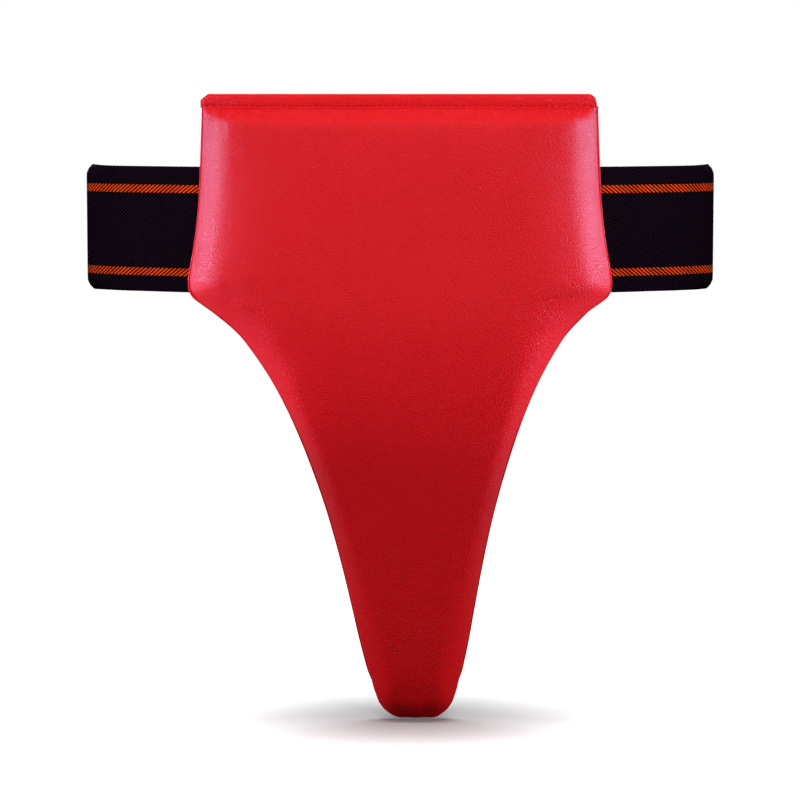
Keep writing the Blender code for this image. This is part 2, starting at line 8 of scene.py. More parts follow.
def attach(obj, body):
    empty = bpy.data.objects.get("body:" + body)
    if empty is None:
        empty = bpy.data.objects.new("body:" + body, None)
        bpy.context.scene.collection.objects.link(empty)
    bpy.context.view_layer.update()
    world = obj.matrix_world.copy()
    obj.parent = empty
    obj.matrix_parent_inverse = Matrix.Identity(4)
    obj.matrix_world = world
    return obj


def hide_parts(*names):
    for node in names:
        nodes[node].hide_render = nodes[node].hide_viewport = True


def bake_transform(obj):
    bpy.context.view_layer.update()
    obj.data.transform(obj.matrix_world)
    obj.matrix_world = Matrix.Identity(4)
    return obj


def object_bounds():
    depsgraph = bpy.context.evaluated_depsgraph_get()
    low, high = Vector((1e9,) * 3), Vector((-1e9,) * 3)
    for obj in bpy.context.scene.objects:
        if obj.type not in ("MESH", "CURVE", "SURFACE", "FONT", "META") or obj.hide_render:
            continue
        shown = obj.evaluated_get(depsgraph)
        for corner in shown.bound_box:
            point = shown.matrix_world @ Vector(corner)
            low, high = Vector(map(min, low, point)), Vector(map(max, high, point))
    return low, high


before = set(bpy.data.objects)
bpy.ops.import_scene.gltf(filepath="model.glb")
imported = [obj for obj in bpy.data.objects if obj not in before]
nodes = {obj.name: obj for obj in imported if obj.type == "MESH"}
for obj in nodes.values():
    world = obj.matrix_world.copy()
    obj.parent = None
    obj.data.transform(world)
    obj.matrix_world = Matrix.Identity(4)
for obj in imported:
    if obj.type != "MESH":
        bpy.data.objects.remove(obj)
cadLow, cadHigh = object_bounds()
scene = bpy.context.scene
scene.view_settings.view_transform = "Standard"
mm = 0.001

# the shield's own form, as the solids have it
shieldForm = {
    "flatHalfWidth": 70 * mm,  # flat over the belly, then it wraps
    "wrapRadius": 250 * mm,
    "lean": 9.5 * mm,          # how far the tip hangs to one side
    "leanTop": -48 * mm,
    "leanTip": -290 * mm,
    "leanPower": 0.6,
}


def wrapAt(x):
    return np.maximum(np.abs(x) - shieldForm["flatHalfWidth"], 0) ** 2 / (2 * shieldForm["wrapRadius"])


def leanAt(z):
    down = (shieldForm["leanTop"] - z) / (shieldForm["leanTop"] - shieldForm["leanTip"])
    return shieldForm["lean"] * np.clip(down, 0, 1) ** shieldForm["leanPower"]


def smoothStep(t):
    t = np.clip(t, 0, 1)
    return t * t * (3 - 2 * t)


def runAlong(curve):
    return np.r_[0, np.cumsum(np.linalg.norm(np.diff(curve, axis=0), axis=1))]


def waveSum(place, waves):
    # each wave is a height, a length for one radian and a start in radians
    return sum(height * np.sin(place / length + start) for height, length, start in waves)


# small tools

def activate(piece):
    bpy.ops.object.select_all(action="DESELECT")
    piece.select_set(True)
    bpy.context.view_layer.objects.active = piece


def inEditMode(piece, *steps):
    activate(piece)
    bpy.ops.object.mode_set(mode="EDIT")
    for step in steps:
        step()
    bpy.ops.object.mode_set(mode="OBJECT")


def selectAll():
    bpy.ops.mesh.select_all(action="SELECT")


def clearSelection(piece, mode):
    def step():
        bpy.ops.mesh.select_mode(type=mode)
        bpy.ops.mesh.select_all(action="DESELECT")
    inEditMode(piece, step)


def addModifier(piece, kind, **settings):
    modifier = piece.modifiers.new(kind.lower(), kind)
    for key, value in settings.items():
        setattr(modifier, key, value)
    activate(piece)
    bpy.ops.object.modifier_apply(modifier=modifier.name)


def roundEdges(piece, width, angle=50):
    addModifier(piece, "BEVEL", width=width, segments=2, limit_method="ANGLE",
                angle_limit=math.radians(angle), use_clamp_overlap=True)


def subdivide(piece, levels):
    addModifier(piece, "SUBSURF", levels=levels, render_levels=levels)


def smoothShade(piece, angle):
    activate(piece)
    bpy.ops.object.shade_smooth_by_angle(angle=math.radians(angle))


def pointsOf(piece):
    points = np.zeros(3 * len(piece.data.vertices))
    piece.data.vertices.foreach_get("co", points)
    return points.reshape(-1, 3)


def setPoints(piece, points):
    piece.data.vertices.foreach_set("co", np.asarray(points, float).ravel())
    piece.data.update()


def normalsOf(piece):
    normals = np.zeros(3 * len(piece.data.vertices))
    piece.data.vertices.foreach_get("normal", normals)
    return normals.reshape(-1, 3)


def newPiece(name, points, faces):
    mesh = bpy.data.meshes.new(name)
    mesh.from_pydata(np.asarray(points).reshape(-1, 3).tolist(), [], faces)
    piece = bpy.data.objects.new(name, mesh)
    scene.collection.objects.link(piece)
    return piece


def newGrid(name, columns, rows):
    bpy.ops.object.select_all(action="DESELECT")
    bpy.ops.mesh.primitive_grid_add(x_subdivisions=columns, y_subdivisions=rows, size=1)
    piece = bpy.context.object
    piece.name = piece.data.name = name
    return piece


def copyNode(node, name):
    piece = nodes[node].copy()
    piece.data = nodes[node].data.copy()
    piece.name = piece.data.name = name
    piece.parent = None
    for key in list(piece.keys()):
        del piece[key]
    scene.collection.objects.link(piece)
    piece.data.materials.clear()
    inEditMode(
        piece,
        selectAll,
        bpy.ops.mesh.customdata_custom_splitnormals_clear,
        lambda: bpy.ops.mesh.remove_doubles(threshold=0.01 * mm),
        bpy.ops.mesh.tris_convert_to_quads,
    )
    return piece


def dress(piece, material, body, slot, *replaced):
    piece.data.materials.clear()
    piece.data.materials.append(material)
    if body:
        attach(piece, body)
    if replaced:
        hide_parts(*replaced)
    print("made", piece.name, len(piece.data.polygons), "faces")
    return piece


# materials

def toLinear(hexColour):
    channels = [int(hexColour[i:i + 2], 16) / 255 for i in (1, 3, 5)]
    return tuple(c / 12.92 if c <= 0.04045 else ((c + 0.055) / 1.055) ** 2.4 for c in channels) + (1,)


def addNode(tree, kind, inputs=None, **settings):
    node = tree.nodes.new("ShaderNode" + kind)
    for key, value in settings.items():
        setattr(node, key, value)
    for key, value in (inputs or {}).items():
        if isinstance(value, bpy.types.NodeSocket):
            tree.links.new(value, node.inputs[key])
        else:
            node.inputs[key].default_value = value
    return node


def newMaterial(name, **sockets):
    material = bpy.data.materials.new(name)
    material.use_nodes = True
    tree = material.node_tree
    shader = tree.nodes["Principled BSDF"]
    for key, value in sockets.items():
        shader.inputs[key.replace("_", " ")].default_value = value
    return material, tree, shader


def perMetre(sizeMm):
    return 1000 / sizeMm


def objectPlace(tree):
    return addNode(tree, "TexCoord").outputs["Object"]


def calculate(tree, operation, *values):
    return addNode(tree, "Math", dict(enumerate(values)), operation=operation).outputs["Value"]


def mapRange(tree, value, fromEnds=(0, 1), toEnds=(0, 1), smooth=False):
    ends = {"From Min": fromEnds[0], "From Max": fromEnds[1], "To Min": toEnds[0], "To Max": toEnds[1]}
    kind = "SMOOTHSTEP" if smooth else "LINEAR"
    return addNode(tree, "MapRange", {"Value": value, **ends}, interpolation_type=kind).outputs["Result"]


def mixColours(tree, share, low, high):
    # each end is a hex colour or another node's colour
    ends = [toLinear(end) if isinstance(end, str) else end for end in (low, high)]
    return addNode(tree, "Mix", {"Factor": share, 6: ends[0], 7: ends[1]}, data_type="RGBA").outputs[2]


def addNoise(tree, place, sizeMm, detail):
    inputs = {"Vector": place, "Scale": perMetre(sizeMm), "Detail": detail}
    return addNode(tree, "TexNoise", inputs).outputs["Fac"]


def addCells(tree, place, sizeMm, feature):
    inputs = {"Vector": place, "Scale": perMetre(sizeMm)}
    return addNode(tree, "TexVoronoi", inputs, feature=feature).outputs["Distance"]


def addBump(tree, height, reliefMm):
    inputs = {"Height": height, "Strength": 1, "Distance": reliefMm * mm}
    return addNode(tree, "Bump", inputs).outputs["Normal"]


def plug(tree, shader, **sockets):
    for key, socket in sockets.items():
        tree.links.new(socket, shader.inputs[key.replace("_", " ")])


# polyurethane-coated leather, embossed: a fine pebble grain that breaks the gloss into a satin sheen
leatherSettings = {
    "pebbleMm": 1.35,
    "pebbleEdge": 0.3,         # where a pebble's slope meets its level top
    "poreMm": 0.5,
    "poreShare": 0.5,          # of a pebble's relief
    "patchMm": 45,
    "patchRange": (0.3, 0.7),
    "patchTone": 0.5,
    # the colour darkens in the valleys between pebbles, which is painted shade
    "valleyShade": 0.35,
    "reliefMm": 0.19,
    "roughness": (0.45, 0.54),
    "specular": 0.13,
}


def makeLeather(name, hexColour, hexDeep):
    look = leatherSettings
    material, tree, shader = newMaterial(name, Specular_IOR_Level=look["specular"])
    place = objectPlace(tree)
    pebble = addCells(tree, place, look["pebbleMm"], "DISTANCE_TO_EDGE")
    dome = mapRange(tree, pebble, (0, look["pebbleEdge"]), smooth=True)
    pore = addNoise(tree, place, look["poreMm"], 2)
    patch = addNoise(tree, place, look["patchMm"], 3)
    height = calculate(tree, "MULTIPLY_ADD", pore, look["poreShare"], dome)
    # the base colour darkens in the valleys between the pebbles, which is painted shade; the large patches
    # are a random tone of the leather
    valley = calculate(tree, "MULTIPLY_ADD", dome, -look["valleyShade"], look["valleyShade"])
    toneAndValleyShade = calculate(tree, "MULTIPLY_ADD", patch, look["patchTone"], valley)
    plug(
        tree,
        shader,
        Base_Color=mixColours(tree, toneAndValleyShade, hexColour, hexDeep),
        Roughness=mapRange(tree, patch, look["patchRange"], look["roughness"]),
        Normal=addBump(tree, height, look["reliefMm"]),
    )
    return material


# woven polyester and rubber elastic: a steep twill of round threads, matt, with its rib crests drawn lighter
# as a painted highlight and the gaps between them dark as painted shade
elasticSettings = {
    "black": "#040004",
    # the colour of the rib crests, lighter than the black: a painted highlight
    "ridgeHighlight": "#362838",
    "orange": "#FF5206",
    "orangeDeep": "#EE4A04",
    "twillMm": 2.4,        # along the band, which puts the ribs about 1.5 mm apart, as the photo has them
    "twillSlope": 1.3,     # along for each unit across
    "ribStart": -0.1,      # the part of each wave below this is a gap between ribs
    "fibreMm": 0.5,
    "fibreShare": 0.5,     # of a rib's relief
    "dashMm": 2.7,
    "dashShare": 0.52,
    "stripesMm": ((9.3, 13.7), (56.9, 61.4)),  # from the lower edge
    "stripeRise": 0.8,     # of a rib's relief
    "reliefMm": 0.22,
    "roughness": 0.78,
    "specular": 0.005,
}


def makeElastic(name, striped):
    look = elasticSettings
    material, tree, shader = newMaterial(name, Roughness=look["roughness"],
                                         Specular_IOR_Level=look["specular"])
    cloth = addNode(tree, "SeparateXYZ", {"Vector": addNode(tree, "UVMap").outputs["UV"]})
    along, across = cloth.outputs["X"], cloth.outputs["Y"]
    slant = calculate(tree, "MULTIPLY_ADD", across, look["twillSlope"], along)
    turns = calculate(tree, "MULTIPLY", slant, 2 * math.pi * perMetre(look["twillMm"]))
    rib = mapRange(tree, calculate(tree, "SINE", turns), (look["ribStart"], 1))
    fibre = addNoise(tree, objectPlace(tree), look["fibreMm"], 2)
    relief = calculate(tree, "MULTIPLY_ADD", fibre, look["fibreShare"], rib)
    # rib crests take the lighter colour and the gaps the black: a painted highlight and painted shade along
    # the twill
    colour = mixColours(tree, calculate(tree, "MULTIPLY", rib, fibre), look["black"], look["ridgeHighlight"])
    if striped:
        count = calculate(tree, "MULTIPLY", slant, perMetre(look["dashMm"]))
        dash = calculate(tree, "LESS_THAN", calculate(tree, "FRACT", count), look["dashShare"])
        stripes = [calculate(tree, "COMPARE", across, (low + high) / 2 * mm, (high - low) / 2 * mm)
                   for low, high in look["stripesMm"]]
        thread = calculate(tree, "MULTIPLY", dash, calculate(tree, "MAXIMUM", *stripes))
        orange = mixColours(tree, fibre, look["orange"], look["orangeDeep"])
        colour = mixColours(tree, thread, colour, orange)
        relief = calculate(tree, "MULTIPLY_ADD", thread, look["stripeRise"], relief)
    plug(tree, shader, Base_Color=colour, Normal=addBump(tree, relief, look["reliefMm"]))
    return material


# plain-woven nylon: square weave, matt, with the warp a shade lighter than the weft
wovenSettings = {
    "threadMm": 1.9,  # real threads are about 0.5 mm apart, drawn coarser so that they show
    "threadEdge": 0.5,
    "reliefMm": 0.3,
    "roughness": 0.72,
    "specular": 0.3,
    "sheen": 0.15,
    "sheenRoughness": 0.45,
}


def makeWoven(name, hexWarp, hexWeft):
    look = wovenSettings
    material, tree, shader = newMaterial(
        name, Roughness=look["roughness"], Specular_IOR_Level=look["specular"],
        Sheen_Weight=look["sheen"], Sheen_Roughness=look["sheenRoughness"])
    place = addNode(tree, "SeparateXYZ", {"Vector": objectPlace(tree)})
    waves = []
    for axis in ("X", "Z"):
        turns = calculate(tree, "MULTIPLY", place.outputs[axis], math.pi * perMetre(look["threadMm"]))
        waves.append(calculate(tree, "SINE", turns))
    over = calculate(tree, "MULTIPLY", *waves)
    check = mapRange(tree, over, (-look["threadEdge"], look["threadEdge"]), smooth=True)
    height = calculate(tree, "ABSOLUTE", over)
    plug(tree, shader, Base_Color=mixColours(tree, check, hexWarp, hexWeft),
         Normal=addBump(tree, height, look["reliefMm"]))
    return material


# spun thread, moulded nylon, closed-cell foam and moulded polypropylene: a grain of one size, two tones
grainedSettings = {
    "hazePerGrain": 6,
    "roughSpread": 0.08,
}


def makeGrained(name, hexLight, hexDark, grainMm, reliefMm, roughness, specular):
    look = grainedSettings
    material, tree, shader = newMaterial(name, Specular_IOR_Level=specular)
    place = objectPlace(tree)
    cell = addCells(tree, place, grainMm, "SMOOTH_F1")
    haze = addNoise(tree, place, look["hazePerGrain"] * grainMm, 3)
    tone = calculate(tree, "MULTIPLY", cell, haze)
    roughEnds = (roughness - look["roughSpread"], roughness + look["roughSpread"])
    plug(
        tree,
        shader,
        Base_Color=mixColours(tree, tone, hexLight, hexDark),
        Roughness=mapRange(tree, haze, toEnds=roughEnds),
        Normal=addBump(tree, cell, reliefMm),
    )
    return material


redLeather = makeLeather("pu_leather_red", "#D60F17", "#BE0A11")
# the hem and the welt are the cover's red leather drawn lighter, a painted highlight on these narrow edges
hemLeather = makeLeather("pu_leather_hem", "#D81018", "#C20A11")
weltLeather = makeLeather("pu_leather_welt", "#E0141D", "#C80C14")
stripedElastic = makeElastic("woven_elastic_striped", True)
plainElastic = makeElastic("woven_elastic_plain", False)
linerNylon = makeWoven("woven_nylon_liner", "#28272C", "#0B0A0D")
tabNylon = makeWoven("woven_nylon_tab", "#232227", "#0A090C")
redThread = makeGrained("polyester_thread_red", "#8A0A10", "#4E0508", 0.3, 0.05, 0.6, 0.3)
blackThread = makeGrained("polyester_thread_black", "#34323A", "#121115", 0.3, 0.05, 0.55, 0.35)
hookNylon = makeGrained("moulded_nylon_hooks", "#1E1D22", "#0C0B0E", 0.6, 0.03, 0.42, 0.5)
loopNylon = makeGrained("brushed_nylon_loops", "#1A191D", "#08080A", 0.7, 0.12, 0.85, 0.2)
paddingFoam = makeGrained("eva_foam_grey", "#CFCCC4", "#A8A59C", 1.1, 0.12, 0.85, 0.25)
cupPlastic = makeGrained("moulded_polypropylene", "#EDEAE1", "#DEDACF", 1.5, 0.015, 0.38, 0.5)
print("materials made")


# front cover: the leather skin sewn down all round and swollen by the padding

coverSettings = {
    "core": (3 * mm, 0, -60 * mm),  # the skin that faces away from here is the outer one
    "pull": 15 * mm,
    "seamZ": 69.8 * mm,
    "seamCrease": 0.85,
    "seamReach": 0.6 * mm,
    "levelReach": 0.1 * mm,
    "wideCell": 9 * mm,
    "sewnReach": 3.5 * mm,
    "sewnBelowSeam": 1 * mm,
    "pressure": 3.0,
    "stiffness": 40,
    "bending": 4,
    "quality": 6,
    "frames": 20,
    "mostSwell": 1.6 * mm,
    "evenRounds": 60,
    "leather": 1.2 * mm,
    "pucker": 0.28 * mm,
    "puckerPitch": 7.5 * mm,
    "puckerReach": 9 * mm,
    "puckerStart": 2 * mm,
    "puckerWander": ((1.3, 31 * mm, 0), (0.8, 13 * mm, 1)),
    "sway": 0.175 * mm,
    "swayStart": 25 * mm,
    "swayAcross": ((1, 26 * mm, 0.7),),
    "swayDown": ((1, 34 * mm, 0),),
    "swaySlant": ((0.6, 17 * mm, 2),),
    "tipZ": -288.9 * mm,
    "tipX": 9.5 * mm,
    "tipFlat": 9 * mm,  # half of the level edge, and the reach of the curve beyond it
    "tipCurve": 55,     # in 1/m
    "tipSmooth": 9 * mm,
    "tipSmoothShare": 0.5,
    "tipSmoothRounds": 25,
    "tipEven": 0.6 * mm,
}


def outerFaces(piece):
    look = coverSettings
    core = Vector(look["core"])
    found = []
    for face in piece.data.polygons:
        behind = nodes["back_liner"].closest_point_on_mesh(face.center)[1]
        behind = behind + look["pull"] * (core - behind).normalized()
        found.append(face.normal.dot(face.center - behind) > 0)
    return found


def splitWideColumns(piece, longest):
    # cuts whole columns, so that the skin stays a grid of quads
    clearSelection(piece, "EDGE")
    points = pointsOf(piece)
    top = points[:, 2].max()
    for edge in piece.data.edges:
        a, b = points[list(edge.vertices)]
        wide = np.linalg.norm(a - b) > longest
        edge.select = bool(wide and min(a[2], b[2]) > top - coverSettings["levelReach"])
    inEditMode(
        piece,
        lambda: bpy.ops.mesh.loop_multi_select(ring=True),
        lambda: bpy.ops.mesh.subdivide(number_cuts=1),
    )


def borderPoints(piece):
    uses = {}
    for face in piece.data.polygons:
        for key in face.edge_keys:
            uses[key] = uses.get(key, 0) + 1
    return sorted({i for key, count in uses.items() if count == 1 for i in key})


def evenOut(piece, values, held, rounds):
    # passes each point's value on to its neighbours, so that the padding leaves no creases
    ends = np.array([edge.vertices[:] for edge in piece.data.edges])
    uses = np.maximum(np.bincount(ends.ravel(), minlength=len(values)), 1)
    for _ in range(rounds):
        values[held] = 0
        passed = np.bincount(ends[:, 0], values[ends[:, 1]], len(values))
        passed += np.bincount(ends[:, 1], values[ends[:, 0]], len(values))
        values = (values + passed / uses) / 2
    return values


def swell(piece, sewn):
    look = coverSettings
    piece.vertex_groups.new(name="sewn").add(sewn, 1.0, "REPLACE")
    flat, outwards = pointsOf(piece), normalsOf(piece)
    cloth = piece.modifiers.new("padding", "CLOTH")
    cloth.settings.vertex_group_mass = "sewn"
    cloth.settings.quality = look["quality"]
    cloth.settings.tension_stiffness = look["stiffness"]
    cloth.settings.compression_stiffness = look["stiffness"]
    cloth.settings.bending_stiffness = look["bending"]
    cloth.settings.use_pressure = True
    cloth.settings.uniform_pressure_force = look["pressure"]
    cloth.settings.effector_weights.gravity = 0
    cloth.collision_settings.use_collision = False
    for number in range(1, look["frames"] + 1):
        scene.frame_set(number)
    activate(piece)
    bpy.ops.object.modifier_apply(modifier=cloth.name)
    scene.frame_set(1)
    rise = evenOut(piece, ((pointsOf(piece) - flat) * outwards).sum(axis=1), sewn, look["evenRounds"])
    kept = look["mostSwell"] * np.tanh(rise / look["mostSwell"])
    setPoints(piece, flat + outwards * kept[:, None])
    print("cover swells by up to", round(float(kept.max() / mm), 2), "mm")


def gatherAtSeam(piece):
    # the seam draws the leather into shallow puckers, and the padding is never quite even
    look = coverSettings
    points, normals = pointsOf(piece), normalsOf(piece)
    x, z = points[:, 0], points[:, 2]
    below = look["seamZ"] - z
    near = np.exp(-np.clip(below, 0, None) / look["puckerReach"]) * smoothStep(below / look["puckerStart"])
    wander = waveSum(x, look["puckerWander"])
    pucker = look["pucker"] * near * np.sin(2 * math.pi * x / look["puckerPitch"] + wander)
    inside = smoothStep(below / look["swayStart"])
    sway = waveSum(x, look["swayAcross"]) * waveSum(z, look["swayDown"]) + waveSum(x + z, look["swaySlant"])
    setPoints(piece, points + normals * (pucker + look["sway"] * inside * sway)[:, None])


def smoothTip(piece):
    # the rows crowd together at the tip, so the skin is drawn smooth there
    look = coverSettings
    clearSelection(piece, "VERT")
    held = set(borderPoints(piece))
    for vertex in piece.data.vertices:
        vertex.select = vertex.co.z < look["tipZ"] + look["tipSmooth"] and vertex.index not in held
    inEditMode(piece, lambda: bpy.ops.mesh.vertices_smooth(factor=look["tipSmoothShare"],
                                                           repeat=look["tipSmoothRounds"]))


def makeFrontCover():
    look = coverSettings
    cover = copyNode("front_cover", "frontCover")
    keep = outerFaces(cover)
    clearSelection(cover, "FACE")
    for face, outer in zip(cover.data.polygons, keep):
        face.select = not outer
    inEditMode(cover, lambda: bpy.ops.mesh.delete(type="FACE"))
    crease = cover.data.attributes.new("crease_edge", "FLOAT", "EDGE")
    points = pointsOf(cover)
    for edge in cover.data.edges:
        heights = points[list(edge.vertices), 2]
        level = np.ptp(heights) < look["levelReach"]
        onSeam = level and abs(heights[0] - look["seamZ"]) < look["seamReach"]
        crease.data[edge.index].value = look["seamCrease"] if onSeam else 0
    subdivide(cover, 2)
    for longest in (2 * look["wideCell"], look["wideCell"]):
        splitWideColumns(cover, longest)
    points = pointsOf(cover)
    edge = points[borderPoints(cover)]
    gaps = np.array([np.linalg.norm(edge - p, axis=1).min() for p in points])
    aboveSeam = points[:, 2] > look["seamZ"] - look["sewnBelowSeam"]
    sewn = np.where((gaps < look["sewnReach"]) | aboveSeam)[0]
    swell(cover, sewn.tolist())
    subdivide(cover, 1)
    gatherAtSeam(cover)
    smoothTip(cover)
    addModifier(cover, "SOLIDIFY", thickness=look["leather"], offset=-1)
    points = pointsOf(cover)
    beyond = np.clip(np.abs(points[:, 0] - look["tipX"]) - look["tipFlat"], 0, look["tipFlat"])
    lowest = look["tipZ"] + look["tipCurve"] * beyond ** 2
    below = np.maximum(lowest + look["tipEven"] - points[:, 2], 0)
    # nothing stands below the tip's own curve
    points[:, 2] += below - look["tipEven"] * np.tanh(below / look["tipEven"])
    setPoints(cover, points)
    smoothShade(cover, 60)
    return dress(cover, redLeather, "shield", "red_leather", "front_cover")


cover = makeFrontCover()


# ribbons: a grid bent along a curve, thickened and rounded at its edges, with its cloth sizes as UVs

def smoothCurve(points, perSpan=24):
    p = np.array(points, float)
    p = np.vstack([2 * p[0] - p[1], p, 2 * p[-1] - p[-2]])
    knots = np.r_[0, np.cumsum(np.sqrt(np.linalg.norm(np.diff(p, axis=0), axis=1)))]
    curve = []
    for i in range(1, len(p) - 2):
        k0, k1, k2, k3 = knots[i - 1:i + 3]
        t = np.linspace(k1, k2, perSpan, endpoint=False)[:, None]
        a1 = ((k1 - t) * p[i - 1] + (t - k0) * p[i]) / (k1 - k0)
        a2 = ((k2 - t) * p[i] + (t - k1) * p[i + 1]) / (k2 - k1)
        a3 = ((k3 - t) * p[i + 1] + (t - k2) * p[i + 2]) / (k3 - k2)
        b1 = ((k2 - t) * a1 + (t - k0) * a2) / (k2 - k0)
        b2 = ((k3 - t) * a2 + (t - k1) * a3) / (k3 - k1)
        curve.append(((k2 - t) * b1 + (t - k1) * b2) / (k2 - k1))
    return np.vstack([*curve, p[-2:-1]])


ribbonSettings = {
    "cell": 2.5 * mm,
    "edgeShare": 0.3,  # of the wall, rounded off at each edge
}


def makeRibbon(name, curve, width, wall, shape, cell=ribbonSettings["cell"]):
    # shape turns a place on the flat ribbon into a point: (curve point, its right, run along, height across)
    run = runAlong(curve)
    length = run[-1]
    ribbon = newGrid(name, round(length / cell), round(width / cell))
    flat = pointsOf(ribbon)
    along, across = (flat[:, 0] + 0.5) * length, flat[:, 1] * width
    ahead = np.gradient(curve, axis=0)
    ahead /= np.linalg.norm(ahead, axis=1)[:, None]
    point = np.c_[np.interp(along, run, curve[:, 0]), np.interp(along, run, curve[:, 1])]
    right = np.c_[np.interp(along, run, ahead[:, 1]), -np.interp(along, run, ahead[:, 0])]
    setPoints(ribbon, shape(point, right, along, across))
    cloth = ribbon.data.uv_layers.active
    for corner in cloth.data:
        corner.uv = (corner.uv[0] * length, corner.uv[1] * width)
    addModifier(ribbon, "SOLIDIFY", thickness=wall, offset=0, use_even_offset=True)
    roundEdges(ribbon, ribbonSettings["edgeShare"] * wall, angle=60)
    smoothShade(ribbon, angle=50)
    return ribbon, length


# waistband: two mirrored elastics, the left one running round the rear to the closure

bandSettings = {
    "width": 72 * mm,
    "wall": 2 * mm,
    "sewnX": (84 * mm, 96.167 * mm, 108.333 * mm, 120.5 * mm),
    "offLiner": 1.6 * mm,
    "front": ((141 * mm, 15.5 * mm), (164.5 * mm, 27 * mm)),
    "leftFold": ((181.8 * mm, 46 * mm), (172.5 * mm, 62 * mm), (149 * mm, 70.2 * mm)),
    "leftRear": ((100 * mm, 77 * mm), (50 * mm, 80.5 * mm), (0, 82 * mm)),
    "leftEndX": 95 * mm,
    "rightFold": ((182.3 * mm, 48 * mm), (173.5 * mm, 66 * mm), (149.5 * mm, 75.3 * mm)),
    "rightRear": ((102.7 * mm, 82.186 * mm), (98.7 * mm, 82.307 * mm)),
    "rearDrop": 4 * mm,
    "curl": 3.5 * mm,
    "curlHeight": 6 * mm,
    "curlReach": 28 * mm,
    "bendStart": -5 * mm,  # the right elastic bends this far before and after the hinge line
    "bendEnd": 9 * mm,
    "bendWay": (0.5, 0.866, 0),
}


def bandShape(curve, inwards):
    look = bandSettings
    run = runAlong(curve)
    fold = run[np.argmax(np.abs(curve[:, 0]))]
    foldY, rearY = look["leftFold"][0][1], look["leftRear"][-1][1]

    def shape(point, right, along, across):
        curl = look["curl"] * (1 - smoothStep(np.abs(along - fold) / look["curlReach"]))
        edge = np.clip((np.abs(across) - look["width"] / 2 + look["curlHeight"]) / look["curlHeight"], 0, 1)
        plan = point + (inwards * curl * edge ** 2)[:, None] * right
        drop = look["rearDrop"] * smoothStep((point[:, 1] - foldY) / (rearY - foldY))
        return np.c_[plan, across - drop]

    return shape


def frontRoute():
    sewn = [(x, wrapAt(x) + bandSettings["offLiner"]) for x in bandSettings["sewnX"]]
    return [*sewn, *bandSettings["front"]]


def makeLeftElastic():
    look = bandSettings
    half = [(-x, y) for x, y in [*frontRoute(), *look["leftFold"], *look["leftRear"]]]
    curve = smoothCurve([*half, *look["leftRear"][-2::-1]])
    curve = curve[(curve[:, 0] < look["leftEndX"]) | (curve[:, 1] < look["leftFold"][-1][1])]
    band, length = makeRibbon("leftElastic", curve, look["width"], look["wall"], bandShape(curve, 1))
    return dress(band, stripedElastic, "shield", "elastic", "left_band")


def makeRightElastic():
    look = bandSettings
    curve = smoothCurve([*frontRoute(), *look["rightFold"], *look["rightRear"]])
    band, length = makeRibbon("rightElastic", curve, look["width"], look["wall"], bandShape(curve, -1))
    dress(band, stripedElastic, None, "elastic", "right_band_end", "right_band")
    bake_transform(band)
    return band


leftElastic = makeLeftElastic()
rightElastic = makeRightElastic()


# crotch strap: a narrower elastic from the back of the tongue up to the rear of the waistband

strapSettings = {
    "width": 30 * mm,
    "wall": 2 * mm,
    "cell": 2 * mm,
    "route": (  # y and z, from the sewn end on the tongue
        (25.516 * mm, -212 * mm), (29.21 * mm, -231 * mm), (32.903 * mm, -250 * mm),
        (35.5 * mm, -260 * mm), (43.5 * mm, -267.5 * mm), (51.5 * mm, -260 * mm),
        (55.5 * mm, -240 * mm), (66 * mm, -175 * mm), (76 * mm, -112 * mm), (82.5 * mm, -66 * mm),
        (84.3 * mm, -36 * mm), (84.3 * mm, 24 * mm),
    ),
}


def makeCrotchStrap():
    look = strapSettings

    def shape(point, right, along, across):
        return np.c_[leanAt(point[:, 1]) + across, point]

    curve = smoothCurve(look["route"])
    strap, length = makeRibbon("crotchStrap", curve, look["width"], look["wall"], shape, look["cell"])
    return dress(strap, plainElastic, "shield", "elastic", "crotch_strap")


crotchStrap = makeCrotchStrap()


# hem: a leather strip folded over the top edge and sewn through

hemSettings = {
    "leather": 0.9 * mm,
    "lowZ": 69.5 * mm,
    "topZ": 77.3 * mm,
    "halfWidth": 111.8 * mm,
    "leftMore": 1.4 * mm,
    "front": 4.45 * mm,   # depth of its face in front of the liner's back
    "back": -1.25 * mm,
    "chamfer": (4.2 * mm, 3.2 * mm),
    "round": 5 * mm,
    "arch": 0.34,         # share of the fold that is round
    "crown": 2.2 * mm,
    "flatWidth": 20.5 * mm,
    "wave": 0.16 * mm,
    "waves": ((0.6, 19 * mm, 0.4), (0.4, 7.7 * mm, 2)),
    "stitchZ": 70.9 * mm,
    "pinch": 0.3 * mm,
    "pinchReach": 1.1 * mm,
    "pinchBetween": 0.45,  # share of the pinch that stays between two stitches
    "pitch": 3.6 * mm,
    "cell": 0.75 * mm,
    "cellsAround": 30,
}


def hemTop(x):
    look = hemSettings
    chamferX, chamferZ = look["chamfer"]
    left = chamferZ * np.clip(1 - (x + look["halfWidth"] + look["leftMore"]) / chamferX, 0, 1)
    inside = np.clip(1 - (look["halfWidth"] - x) / look["round"], 0, 1)
    return look["topZ"] - left - look["round"] * (1 - np.sqrt(1 - inside ** 2))


def hemWave(x):
    return hemSettings["wave"] * waveSum(x, hemSettings["waves"])


